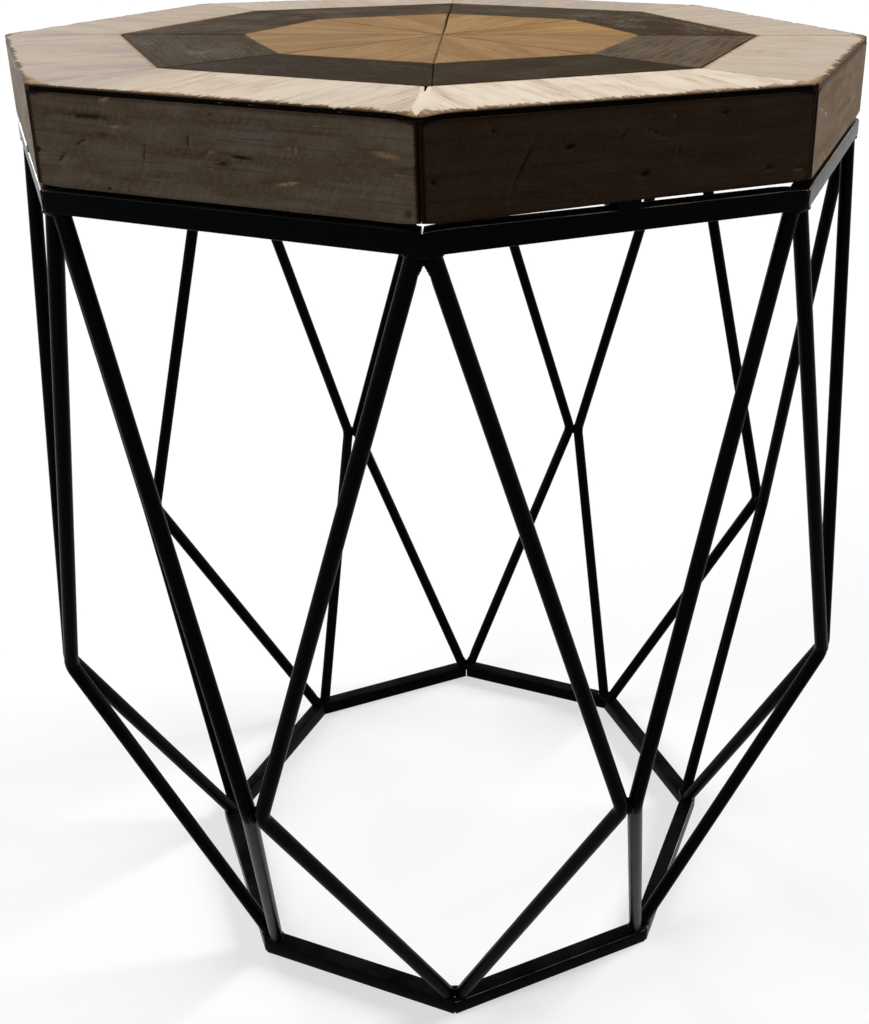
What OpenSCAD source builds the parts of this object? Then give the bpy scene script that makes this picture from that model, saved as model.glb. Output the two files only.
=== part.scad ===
// Octagonal side table: an inlaid wooden top on a welded cage of bent rods.
// Millimetres. The origin is on the floor under the middle of the top, +Z is up,
// and corner 1 of the octagon faces -Y. Corners are numbered anticlockwise from above.

/* [Wooden top] */
// Width of the top across its flats
top_w = 456; // [420:2:500]
// Height of the table
table_h = 562; // [480:2:600]
// Height of the apron boards, below the slats
apron_h = 41; // [38:1:50]
// Thickness of the apron boards
apron_t = 24; // [22:1:28]
// Thickness of the inlaid slats
slat_t = 3; // [2:0.5:6]
// Width of the pale border
border_w = 60; // [50:1:66]
// Width of the dark band inside the border
band_w = 64; // [50:1:66]
// Open seam between neighbouring slats
seam = 0.4; // [0.2:0.1:0.8]
// Thickness of the hidden panel under the slats
panel_t = 12; // [9:1:14]
// Width of the rebate that carries the panel
rebate_w = 12; // [8:1:14]

/* [Rings and tabs] */
// Side of the square bar in both rings
bar = 10; // [9:0.5:12]
// Width of the base ring across its flats
base_w = 322; // [300:2:360]
// Gap left at each mitre of a ring, for the weld
mitre_gap = 0.8; // [0.4:0.1:1.2]
// Thickness of the mounting tabs, which hold the top clear of the ring
tab_t = 4; // [3:0.5:6]
// Width of a mounting tab
tab_w = 12; // [10:1:16]
// Length of a mounting tab, inwards from the ring's outer face
tab_l = 24; // [22:1:28]
// Distance of a tab's screw from the ring's outer face
screw_in = 16.5; // [16.5:0.5:17.5]

/* [Bent rods] */
// Diameter of the rods
rod_d = 8; // [7:0.5:9]
// Centreline radius of the bend in a rod
bend_r = 12; // [10:1:16]
// Distance of the bends from the middle of the table
waist_r = 247; // [240:1:250]
// Height of the bends
waist_h = 206; // [180:2:240]
// Depth to which the two rods of a corner are ground flat against each other
ground = 0.6; // [0.4:0.1:0.8]

/* [Wood screws] */
// Shank diameter of a wood screw
screw_d = 4; // [3.5:0.5:4.5]
// Length of a wood screw under its head
screw_l = 22; // [18:1:22]

/* [Hidden] */
SIDES = 8;
STEP = 360 / SIDES;
HALF = STEP / 2;

// Facets of whatever is round
ROUND = 48;
// How far a cut runs past a face
over = 1;

// Play of a screw in its tab, and the gap that keeps its shank clear of the wood
screw_clear = 0.5;
screw_fit = 0.05;
// Head of a wood screw, its taper, its point, and the cross recess in it
head_d = 8;
head_taper = 1.6;
head_t = 2.6;
point_d = 0.4;
recess_w = 1.2;
recess_l = 4.6;
recess_depth = 1.5;

// A rod's bend is thicker than its straights by this much on each side, and its
// straights reach this far into it
swell = 0.1;
sink = 0.5;
// Gap between the bends of neighbouring rods, which the weld bridges
touch = 0.1;

// Weld in the fork of a corner's two rods, under the upper ring and on the base ring
head_web = 7.5;
foot_web = 5.5;
web_t = 4.6;
web_w = 8;
// Spot of weld in the groove between two bends, and how far out of the groove it lies
bead_d = 5;
bead_out = 2.6;
// Depth of the weld in a ring's mitre, inwards from the corner
mitre_weld_depth = 4;

slat_z = table_h - slat_t;
apron_z = slat_z - apron_h;
ring_z = apron_z - tab_t - bar;
top_in = top_w / 2;
border_in = top_in - border_w;
band_in = border_in - band_w;
ring_in = top_w / 2;
base_in = base_w / 2;
end_side = rod_d / 2 - ground;

// Distance from the middle to a corner of an octagon whose flats are at distance flat
function corner(flat) = flat / cos(HALF);

// Point at a distance from the middle, at an azimuth counted from -Y towards +X,
// moved sideways and up
function polar(radius, azimuth, side, z) = [
    radius * sin(azimuth) + side * cos(azimuth),
    -radius * cos(azimuth) + side * sin(azimuth),
    z
];
function unit(v) = v / norm(v);

// Distance from the middle to a rod's end on a ring with its flats at distance flat. The
// end stands in the middle of the bar's width.
function end_r(flat) = corner(flat - bar / 2) - end_side * tan(HALF);

// The rod that leaves corner 1 towards side way, 1 or -1. Its straights meet at waist,
// which is set so that the bend just clears the neighbouring rod's.
function head_at(way) = polar(end_r(ring_in), 0, way * end_side, ring_z);
function foot_at(way) = polar(end_r(base_in), 0, way * end_side, bar);
function waist_near(way) = polar(waist_r, way * HALF, -way * rod_d / 2, waist_h);
function across(way) = polar(0, way * HALF, -way, 0);
function up_from(at, way) = unit(head_at(way) - at);
function down_from(at, way) = unit(foot_at(way) - at);
function turn_at(at, way) = 180 - acos(up_from(at, way) * down_from(at, way));
function bend_centre(at, way) =
    at + unit(up_from(at, way) + down_from(at, way)) * bend_r / cos(turn_at(at, way) / 2);

// Direction in the plane of a rod through at that runs straight to the neighbouring rod
function pull(at, way) =
    let (
        flat = unit(cross(up_from(at, way), down_from(at, way))),
        n = across(way)
    )
    n - flat * (n * flat);

// How far the bend stands off the plane between the two rods, for a rod through at
function bend_side(at, way) =
    bend_centre(at, way) * across(way) - bend_r * norm(pull(at, way));

function waist_at(way) =
    let (near = waist_near(way))
    near + across(way) * (rod_d / 2 + swell + touch - bend_side(near, way));

// Sector of an octagonal ring between two flats, centred on azimuth 0, with its two
// radial ends pulled back by gap / 2
module ring_sector(outer, inner, height, gap) {
    trim = gap / 2 / cos(HALF);
    wide = outer * tan(HALF) - trim;
    narrow = inner * tan(HALF) - trim;
    linear_extrude(height)
        polygon([[-wide, -outer], [wide, -outer], [narrow, -inner], [-narrow, -inner]]);
}

// One triangle of the centre octagon
module wedge(outer, height, gap) {
    trim = gap / 2 / cos(HALF);
    wide = outer * tan(HALF) - trim;
    linear_extrude(height)
        polygon([[-wide, -outer], [wide, -outer], [0, -trim / tan(HALF)]]);
}

// Turns what is drawn at azimuth 0 to side k, which lies between corners k and k + 1
module at_side(k) {
    rotate([0, 0, (k - 1) * STEP + HALF]) children();
}

// Turns what is drawn at azimuth 0 to corner k
module at_corner(k) {
    rotate([0, 0, (k - 1) * STEP]) children();
}

function has_tab(k) = k % 2 == 1;

module border_slat(k) {
    color("antiquewhite")
        at_side(k)
            translate([0, 0, slat_z])
                ring_sector(top_in, border_in + seam / 2, slat_t, seam);
}

module band_slats() {
    color([0.29, 0.26, 0.23])
        for (k = [1:SIDES])
            at_side(k)
                translate([0, 0, slat_z])
                    ring_sector(border_in - seam / 2, band_in + seam / 2, slat_t, seam);
}

module centre_wedges() {
    color([0.66, 0.52, 0.35])
        for (k = [1:SIDES])
            at_side(k)
                translate([0, 0, slat_z])
                    wedge(band_in - seam / 2, slat_t, seam);
}

module core_panel() {
    color("burlywood")
        translate([0, 0, slat_z - panel_t])
            linear_extrude(panel_t)
                circle(r = corner(top_in - rebate_w), $fn = SIDES);
}

// Mitred board with a rebate along its upper inner edge, and the screw's hole
module apron_board(k) {
    color([0.27, 0.23, 0.2])
        at_side(k)
            difference() {
                translate([0, 0, apron_z])
                    ring_sector(top_in, top_in - apron_t, apron_h, 0);
                translate([0, 0, slat_z - panel_t])
                    ring_sector(top_in - rebate_w, top_in - apron_t - over, panel_t + over,
                                -2 * over);
                if (has_tab(k))
                    translate([0, screw_in - ring_in, apron_z - over])
                        cylinder(d = screw_d, h = screw_l - tab_t + 2 * over, $fn = ROUND);
            }
}

module wood_screw() {
    shank_d = screw_d - 2 * screw_fit;
    tip_l = shank_d;
    difference() {
        union() {
            cylinder(d = shank_d, h = screw_l - tip_l, $fn = ROUND);
            translate([0, 0, screw_l - tip_l])
                cylinder(d1 = shank_d, d2 = point_d, h = tip_l, $fn = ROUND);
            translate([0, 0, -head_t])
                cylinder(d1 = head_d - head_taper, d2 = head_d, h = head_t, $fn = ROUND);
        }
        for (turn = [0, 90])
            rotate([0, 0, turn])
                translate([-recess_l / 2, -recess_w / 2, -head_t - over])
                    cube([recess_l, recess_w, recess_depth + over]);
    }
}

module wood_screws() {
    color("silver")
        for (k = [1:SIDES])
            if (has_tab(k))
                at_side(k)
                    translate([0, screw_in - ring_in, ring_z + bar])
                        wood_screw();
}

// Flat steel on top of the ring, carrying the top and its screw
module mounting_tabs() {
    color("black")
        for (k = [1:SIDES])
            if (has_tab(k))
                at_side(k)
                    difference() {
                        translate([-tab_w / 2, -ring_in, ring_z + bar])
                            cube([tab_w, tab_l, tab_t]);
                        translate([0, screw_in - ring_in, ring_z + bar - over])
                            cylinder(d = screw_d + screw_clear, h = tab_t + 2 * over,
                                     $fn = ROUND);
                    }
}

module ring_bar(k) {
    color("black")
        at_side(k)
            translate([0, 0, ring_z])
                ring_sector(ring_in, ring_in - bar, bar, mitre_gap);
}

module base_bar(k) {
    color("black")
        at_side(k)
            ring_sector(base_in, base_in - bar, bar, mitre_gap);
}

// Moves what is drawn in a rod's own frame to the rod of corner 1 towards side way. In
// that frame the head leg comes in along +X, the bend starts at the origin, and the
// middle of the bend is at [0, -bend_r].
module in_rod_frame(way) {
    at = waist_at(way);
    up = up_from(at, way);
    flat = unit(cross(up, down_from(at, way)));
    inward = cross(flat, up);
    start = at + up * bend_r * tan(turn_at(at, way) / 2);
    multmatrix([
        [-up[0], -inward[0], flat[0], start[0]],
        [-up[1], -inward[1], flat[1], start[1]],
        [-up[2], -inward[2], flat[2], start[2]],
        [0, 0, 0, 1]
    ])
        children();
}

// The straights of a rod, both longer than they need to be
module head_leg(way) {
    long = norm(head_at(way) - waist_at(way)) + rod_d;
    in_rod_frame(way)
        translate([-long, 0, 0])
            rotate([0, 90, 0])
                cylinder(d = rod_d, h = long + sink, $fn = ROUND);
}

module foot_leg(way) {
    long = norm(foot_at(way) - waist_at(way)) + rod_d;
    in_rod_frame(way)
        translate([0, -bend_r, 0])
            rotate([0, 0, -turn_at(waist_at(way), way)])
                translate([-sink, bend_r, 0])
                    rotate([0, 90, 0])
                        cylinder(d = rod_d, h = long + sink, $fn = ROUND);
}

module bend(way) {
    turn = turn_at(waist_at(way), way);
    in_rod_frame(way)
        translate([0, -bend_r, 0])
            rotate([0, 0, 90 - turn])
                rotate_extrude(angle = turn, $fn = ROUND)
                    translate([bend_r, 0])
                        circle(d = rod_d + 2 * swell, $fn = ROUND);
}

// One rod, cut to the space between the rings on its own side of the corner's plane
module rod(way) {
    intersection() {
        union() {
            head_leg(way);
            bend(way);
            foot_leg(way);
        }
        translate([way > 0 ? 0 : -table_h, -table_h, bar])
            cube([table_h, table_h, ring_z - bar]);
    }
}

module left_rod(k) {
    color("black") at_corner(k) rod(-1);
}

module right_rod(k) {
    color("black") at_corner(k) rod(1);
}

// Weld in the outer part of a ring's mitre, up to the outer corner
module mitre_weld(flat, z) {
    half_gap = mitre_gap / 2;
    tip = corner(flat);
    side = tip - half_gap * tan(HALF);
    back = tip - mitre_weld_depth;
    translate([0, 0, z])
        linear_extrude(bar)
            polygon([[-half_gap, -back], [half_gap, -back], [half_gap, -side],
                     [0, -tip], [-half_gap, -side]]);
}

// Web of weld in the narrow fork between the two legs of a corner
module fork_web(flat, z, height) {
    translate([-web_w / 2, -end_r(flat) - web_t / 2, z])
        cube([web_w, web_t, height]);
}

module head_weld() {
    difference() {
        fork_web(ring_in, ring_z - head_web, head_web);
        head_leg(1);
        head_leg(-1);
    }
}

module foot_weld() {
    difference() {
        fork_web(base_in, bar, foot_web);
        foot_leg(1);
        foot_leg(-1);
    }
}

// Spot of weld in the groove between a bend and its neighbour's, on one face of the
// cage. The bends curve away from the two straight lengths that it is cut by.
module bend_weld(face) {
    at = waist_at(1);
    to_neighbour = unit(pull(at, 1));
    nearest = bend_centre(at, 1) - to_neighbour * bend_r;
    along = unit(cross(cross(up_from(at, 1), down_from(at, 1)), to_neighbour));
    groove = cross(across(1), along);
    between = nearest - across(1) * (rod_d / 2 + swell + touch);
    multmatrix([
        [across(1)[0], groove[0], along[0], between[0]],
        [across(1)[1], groove[1], along[1], between[1]],
        [across(1)[2], groove[2], along[2], between[2]],
        [0, 0, 0, 1]
    ])
        difference() {
            translate([0, face * bead_out, 0])
                sphere(d = bead_d, $fn = ROUND);
            for (side = [-1, 1])
                translate([side * (rod_d / 2 + swell + touch), 0, -bead_d])
                    cylinder(d = rod_d + 2 * swell + touch, h = 2 * bead_d, $fn = ROUND);
        }
}

module weld_beads() {
    color("dimgray")
        for (k = [1:SIDES])
            at_corner(k) {
                bend_weld(1);
                bend_weld(-1);
                mitre_weld(ring_in, ring_z);
                mitre_weld(base_in, 0);
                head_weld();
                foot_weld();
            }
}

for (k = [1:SIDES]) border_slat(k);
band_slats();
centre_wedges();
core_panel();
for (k = [1:SIDES]) apron_board(k);
wood_screws();
mounting_tabs();
for (k = [1:SIDES]) ring_bar(k);
for (k = [1:SIDES]) left_rod(k);
for (k = [1:SIDES]) right_rod(k);
for (k = [1:SIDES]) base_bar(k);
weld_beads();
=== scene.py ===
# %% [markdown]
# # An octagonal side table
# The table has an inlaid wooden top on a welded cage of black rods. Its construction comes
# packed from the CAD model, which is the fixed frame of this scene. This script dresses it:
# each piece that shows is built again with its wear, its welds and its softened edges, in the
# place that the frame gives, and every surface gets a procedural finish.

import math

import bpy
import numpy as np
from mathutils import Matrix, Vector, noise


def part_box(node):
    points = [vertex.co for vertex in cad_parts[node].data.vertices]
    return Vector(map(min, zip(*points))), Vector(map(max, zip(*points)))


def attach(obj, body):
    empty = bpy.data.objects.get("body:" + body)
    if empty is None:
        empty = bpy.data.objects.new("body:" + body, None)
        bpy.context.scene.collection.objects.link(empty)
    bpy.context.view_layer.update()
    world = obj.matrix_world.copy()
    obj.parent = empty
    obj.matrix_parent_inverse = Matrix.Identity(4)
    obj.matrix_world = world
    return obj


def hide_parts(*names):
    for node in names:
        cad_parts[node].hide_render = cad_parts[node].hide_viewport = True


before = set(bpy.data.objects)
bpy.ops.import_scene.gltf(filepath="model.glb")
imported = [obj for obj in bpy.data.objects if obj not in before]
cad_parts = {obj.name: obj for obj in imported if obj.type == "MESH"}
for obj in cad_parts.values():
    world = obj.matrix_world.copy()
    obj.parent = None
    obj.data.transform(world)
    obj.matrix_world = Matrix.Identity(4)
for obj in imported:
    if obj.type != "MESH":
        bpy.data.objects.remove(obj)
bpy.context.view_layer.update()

# %% [markdown]
# Everything on this table follows one octagon. A side's own directions are the easiest ones to
# work in: out from the middle, along the side, and up. Sides and corners are counted
# anticlockwise from the front corner, which faces -Y, so side 1 lies between corners 1 and 2.
# The sides that the finishes and the marks single out have names. One function turns the
# three numbers into a place in the frame, for whole arrays at once.

# %% Directions of the octagon
SIDES = 8
STEP = 2 * math.pi / SIDES
HALF = STEP / 2
FLARE = math.tan(HALF)
MM = 0.001
FAR_LEFT, LEFT_FRONT, RIGHT_FRONT, FAR_RIGHT, LEFT_BACK = 7, 8, 1, 2, 5
FRONT_CORNER, BACK_CORNER = 1, 5
sides = range(1, SIDES + 1)


def place(side, along, out, up):
    """Points in the frame, from distances along and out from a side's middle line."""
    middle = (side - 0.5) * STEP
    x = out * math.sin(middle) + along * math.cos(middle)
    y = -out * math.cos(middle) + along * math.sin(middle)
    return np.stack(np.broadcast_arrays(x, y, up), axis=-1)


def reach(node):
    """The nearest and the farthest that a node goes out from the middle, on side 1."""
    outs = [v.co.x * math.sin(HALF) - v.co.y * math.cos(HALF)
            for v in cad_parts[node].data.vertices]
    return min(outs), max(outs)


# %% [markdown]
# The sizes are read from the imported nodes, so that the dressed pieces stay where the
# construction is, even if the table is made in another size.

# %% Sizes from the frame
border_in, top_flat = reach("border_slat_1")
band_flat = reach("band_slats")[1]
wedge_flat = reach("centre_wedges")[1]
apron_in, apron_flat = reach("apron_board_1")
panel_flat = reach("core_panel")[1]
ring_in, ring_flat = reach("ring_bar_1")
base_in, base_flat = reach("base_bar_1")
slat_z, top_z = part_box("border_slat_1")[0].z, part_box("border_slat_1")[1].z
apron_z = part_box("apron_board_1")[0].z
panel_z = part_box("core_panel")[0].z
ring_z, ring_top_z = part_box("ring_bar_1")[0].z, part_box("ring_bar_1")[1].z
base_top_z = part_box("base_bar_1")[1].z
bar = ring_top_z - ring_z
print("top", round(2 * top_flat, 4), "m across its flats, base", round(2 * base_flat, 4), "m")

# %% [markdown]
# The camera stands where the photographer's did: a little right of the front corner, not far
# above the top, looking down. The lens is shifted to the left and down, as if the photograph
# were cut from a larger one. The place, the turns and the shift were found by lining up the
# table's corners with those in the photograph.

# %% Camera
PICTURE_W, PICTURE_H = 869, 1024
LENS_PIXELS = 1217.7
CENTRE_X, CENTRE_Y = 548.9, 358.3
TURN_LEFT, LOOK_DOWN, ROLL = math.radians(-2.575), math.radians(21.7), math.radians(-0.41)
CAMERA_AT = Vector((0.03005, -0.71878, 0.64806))


def put(name, data):
    """A new object in the scene, from a mesh, a lamp or a camera."""
    made = bpy.data.objects.new(name, data)
    bpy.context.scene.collection.objects.link(made)
    return made


level = Vector((math.cos(TURN_LEFT), math.sin(TURN_LEFT), 0))
ahead = Vector((-math.sin(TURN_LEFT) * math.cos(LOOK_DOWN),
                math.cos(TURN_LEFT) * math.cos(LOOK_DOWN), -math.sin(LOOK_DOWN)))
down = ahead.cross(level)
right = math.cos(ROLL) * level + math.sin(ROLL) * down
down = ahead.cross(right)

camera = put("camera", bpy.data.cameras.new("camera"))
turned = Matrix((right, -down, -ahead)).transposed().to_4x4()
camera.matrix_world = Matrix.Translation(CAMERA_AT) @ turned
camera.data.sensor_width = 36
camera.data.lens = camera.data.sensor_width * LENS_PIXELS / PICTURE_H
camera.data.shift_x = (PICTURE_W / 2 - CENTRE_X) / PICTURE_H
camera.data.shift_y = (CENTRE_Y - PICTURE_H / 2) / PICTURE_H
camera.data.clip_start, camera.data.clip_end = 0.05, 50
bpy.context.scene.camera = camera
print("lens", round(camera.data.lens, 1), "mm")

# %% [markdown]
# Shader maths reads best as plain Python. A Wire wraps one output socket, and the operators
# on it add the Math nodes. A Board holds a material's node tree, and its one method node adds
# any other node: its settings first, then the values and links of its sockets.

# %% Wires and boards
class Wire:
    """A number or colour on its way between two nodes."""

    def __init__(self, board, socket):
        self.board = board
        self.socket = socket

    def math(self, operation, *values):
        return self.board.node("ShaderNodeMath", {"operation": operation},
                               dict(enumerate(values)))["Value"]

    def __add__(self, other):
        return self.math("ADD", self, other)

    def __mul__(self, other):
        return self.math("MULTIPLY", self, other)

    def __sub__(self, other):
        return self.math("SUBTRACT", self, other)

    def __rsub__(self, other):
        return self.math("SUBTRACT", other, self)

    def __truediv__(self, other):
        return self.math("DIVIDE", self, other)

    def __neg__(self):
        return self.math("MULTIPLY", self, -1)

    def __abs__(self):
        return self.math("ABSOLUTE", self)

    __radd__ = __add__
    __rmul__ = __mul__


class Board:
    """A node tree, and the steps that are used again and again in it."""

    def __init__(self, owner):
        owner.use_nodes = True
        self.owner = owner
        self.tree = owner.node_tree
        self.tree.nodes.clear()

    def node(self, kind, settings=None, sockets=None):
        made = self.tree.nodes.new(kind)
        for name, value in (settings or {}).items():
            setattr(made, name, value)
        for name, value in (sockets or {}).items():
            if isinstance(name, int):
                socket = made.inputs[name]
            else:
                socket = next(s for s in made.inputs if s.name == name and s.enabled)
            if isinstance(value, Wire):
                self.tree.links.new(value.socket, socket)
            else:
                socket.default_value = value
        return {s.name: Wire(self, s) for s in made.outputs if s.enabled}

    def blend(self, share, low, high):
        """From low, at share 0, to high, at share 1. Each is a wire or three screen values."""
        low, high = (v if isinstance(v, Wire) else colour(*v) for v in (low, high))
        return self.node("ShaderNodeMix", {"data_type": "RGBA"},
                         {"Factor": share, "A": low, "B": high})["Result"]

    def coats(self, paint, *over):
        """A paint under more coats, from below up. Each is the share it covers, and its colour."""
        for share, coat in over:
            paint = self.blend(share, paint, coat)
        return paint

    def ease(self, value, low, high):
        """0 below low, 1 above high, and a smooth step between them."""
        return self.node("ShaderNodeMapRange", {"interpolation_type": "SMOOTHSTEP"},
                         {"Value": value, "From Min": low, "From Max": high})["Result"]

    def grain(self, a, b, c=0.0, detail=3.0, rough=0.5):
        """Noise at three numbers that are counted in grains."""
        at = self.node("ShaderNodeCombineXYZ", None, {"X": a, "Y": b, "Z": c})["Vector"]
        made = self.node("ShaderNodeTexNoise", None, {"Vector": at, "Scale": 1.0, "Detail": detail,
                                                      "Roughness": rough})
        return next(iter(made.values()))

    def bump(self, height, distance):
        """The normal of a surface that rises by height times distance, in metres."""
        return self.node("ShaderNodeBump", None,
                         {"Height": height, "Distance": distance, "Strength": 1.0})["Normal"]

    def facing_up(self):
        """1 on a face that looks straight up, 0 on an upright one."""
        normal = self.node("ShaderNodeNewGeometry")["Normal"]
        return self.node("ShaderNodeSeparateXYZ", None, {"Vector": normal})["Z"]

    def mark(self):
        """The number that a mesh carries at each point, for its finish to read."""
        return self.node("ShaderNodeAttribute", {"attribute_name": "mark"})["Fac"]

    def position(self):
        """A point's x, y and z in the frame."""
        at = self.node("ShaderNodeTexCoord")["Object"]
        split = self.node("ShaderNodeSeparateXYZ", None, {"Vector": at})
        return split["X"], split["Y"], split["Z"]

    def cross_joint(self, width):
        """1 on the joint that runs across the table from left to right, 0 beyond its width."""
        return self.ease(abs(self.position()[1]), width, 0.4 * width)

    def below_top(self, up):
        """0 on the table's top, 1 on the edges and the faces below it."""
        return self.ease(up, top_z - 0.5 * MM, top_z - 1.0 * MM)

    def where(self):
        """A point's place on its side: along it, out, up, and the side, from -4 to 3."""
        x, y, z = self.position()
        side = x.math("ARCTAN2", x, -y) / STEP
        side = side.math("FLOOR", side)
        middle = (side + 0.5) * STEP
        sine, cosine = middle.math("SINE", middle), middle.math("COSINE", middle)
        return x * cosine + y * sine, x * sine - y * cosine, z, side

    def on_sides(self, side, *numbers):
        """1 on one side or two neighbours, 0 elsewhere. Side 1 is 0 in where(), and side 8 -1."""
        places = [(number + 3) % SIDES - 4 for number in numbers]
        middle, half = sum(places) / len(places), len(places) / 2
        return self.ease(abs(side - middle), half + 0.1, half - 0.1)


def colour(red, green, blue):
    """A colour as a screen shows it, 0 to 255, in the linear values that nodes take."""
    shares = [v / 255 for v in (red, green, blue)]
    return [v / 12.92 if v <= 0.04045 else ((v + 0.055) / 1.055) ** 2.4 for v in shares] + [1.0]


def finish_of(paint, roughness, normal, **constants):
    """Closes a board with one Principled shader, with constants set on its own sockets."""
    board = paint.board
    sockets = {"Base Color": paint, "Roughness": roughness, "Normal": normal}
    sockets.update({k.replace("_", " "): v for k, v in constants.items()})
    shader = board.node("ShaderNodeBsdfPrincipled", None, sockets)["BSDF"]
    board.node("ShaderNodeOutputMaterial", None, {"Surface": shader})
    print("finish", board.owner.name, "has", len(board.tree.nodes), "nodes")
    return board.owner


# %% [markdown]
# The border slats were brushed with thin white paint and then rubbed, so the wood shows
# through in streaks along the grain, which runs out from the middle. Along the outer edge the
# paint is gone in ragged streaks, brown towards the edge. The thin edge itself is a dark stain
# with painted shade over it: nearly black on the two front slats, and a lighter, lit grey-brown
# on the others. At the left front corner a patch is bare, and the slat to the right of it
# begins as grey as the one to its left. A picture of wood would be quicker, but noise
# stretched along the grain gives each slat its own streaks at any distance.
#
# The mesh carries a tone for each slat, because some slats took less paint than others. Below
# zero the tone means filler: -1 for its body and -2 for two nearly white, bluish specks, which
# are painted highlights.

# %% Whitewashed wood
WORN_REACH = 8.5 * MM


def whitewashed_wood():
    b = Board(bpy.data.materials.new("whitewashed_wood"))
    along, out, up, side = b.where()
    streak = b.grain(along * 820, out * 38, side * 7.3, 4)
    fine = b.grain(along * 1900, out * 150, side * 3.1, 3)
    broad = b.grain(along * 60, out * 13, side * 5.7, 3)
    cloud = b.grain(along * 30, out * 24, side * 2.9, 4)
    band = b.grain(along * 125, out * 11, side * 8.1, 3)
    tear = b.grain(along * 780, out * 95, side * 9.1, 4, 0.62)
    patch = b.grain(along * 75, out * 22, side * 4.4, 3)
    rubbed = b.grain(along * 240, out * 120, side * 1.9, 3)
    tone = b.mark()
    grey_end = b.on_sides(side, LEFT_FRONT) * b.ease(along, -20 * MM, -84 * MM)
    greyed = tone + grey_end * 0.7
    pale = b.blend(greyed, (230, 218, 202), (177, 165, 154))
    lines = b.ease(fine + (streak - 0.5) * 0.6, 0.61, 0.7)
    lines = lines * b.ease(cloud + (broad - 0.5), 0.44, 0.62)
    paint = b.coats(
        b.blend(greyed, (229, 214, 194), (159, 147, 138)),
        (b.ease(broad, 0.4, 0.64) * 0.45, (204, 184, 160)),
        (b.ease(cloud, 0.5, 0.66) * 0.35, (184, 164, 142)),
        (b.ease(streak + (broad - 0.5) * 0.4, 0.5, 0.68) * 0.36, (168, 147, 122)),
        (b.ease(band, 0.5, 0.66) * 0.32, (172, 150, 124)),
        (b.ease(band, 0.46, 0.34) * 0.4, pale),
        (lines * 0.5, (118, 96, 72)))

    # The bare edge, and the bare patch, which reaches 2.5 times as far on the far left slat.
    gap = top_flat - out
    worn_reach = WORN_REACH * (1 - 0.62 * b.ease(greyed, 0.1, 0.9))
    corner = b.ease(top_flat * FLARE - abs(along), 15 * MM, 3 * MM)
    bare = (1 - gap / worn_reach) * 0.8 + corner * 0.42 + (tear - 0.5) * 1.5 + (patch - 0.5) * 1.9
    bare = b.ease(bare, 0.36, 0.52)
    from_corner = (top_flat * FLARE + along * (side * 2 + 3)) * (side * 1.5 + 4)
    from_corner = from_corner + gap * 5 + (patch + tear * 2 - 1.5) * 16 * MM
    knocked = b.on_sides(side, FAR_LEFT, LEFT_FRONT) * b.ease(from_corner, 40 * MM, 32 * MM)
    bare = bare + knocked - bare * knocked
    brown_rim = b.ease(gap + (patch - 0.5) * 5 * MM, 3.8 * MM, 0.8 * MM)
    ochre = b.coats(b.blend(b.ease(tear, 0.4, 0.6), (172, 140, 98), (124, 92, 56)),
                    (brown_rim * 0.85, (66, 46, 28)))

    # Joints, the dark edge with its painted shade, and the filler.
    inlay = b.ease(out + (rubbed - 0.5) * 5 * MM, border_in + 2.3 * MM, border_in + 0.6 * MM)
    mitre = b.ease(out * FLARE - abs(along), 1.1 * MM, 0.3 * MM) * b.ease(rubbed, 0.38, 0.56)
    edge = b.below_top(up) * b.ease(b.facing_up(), 0.93, 0.75)
    ragged = b.ease(tear, 0.35, 0.65)
    # Painted shade on the thin edge: a nearly black, shaded copy of its colour for the two front
    # slats, and a lighter, lit copy for the others.
    shaded_edge_copy = b.blend(ragged, (5, 3, 2), (18, 13, 9))
    lit_edge_copy = b.blend(ragged, (62, 53, 44), (88, 77, 64))
    paint = b.coats(
        paint,
        (bare * 0.92, ochre),
        (inlay * (0.6 + tone * 0.25), (150, 112, 68)),
        (mitre * 0.6, (128, 102, 74)),
        (b.cross_joint(1.6 * MM) * 0.5, (92, 74, 56)),
        (edge, b.blend(b.ease(tone, 0.45, 0.6), shaded_edge_copy, lit_edge_copy)),
        (b.ease(-tone, 0.3, 0.7), b.blend(streak, (232, 218, 198), (214, 199, 178))),
        # Two nearly white, bluish specks on the filler: painted highlights.
        (b.ease(-tone, 1.3, 1.8), (236, 242, 248)))
    height = streak * 0.6 + fine * 0.4 - bare * 0.5 - lines * 0.5
    return finish_of(paint, 0.66 + streak * 0.16 + bare * 0.08, b.bump(height, 0.22 * MM),
                     Specular_IOR_Level=0.02)


whitewash = whitewashed_wood()
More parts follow.
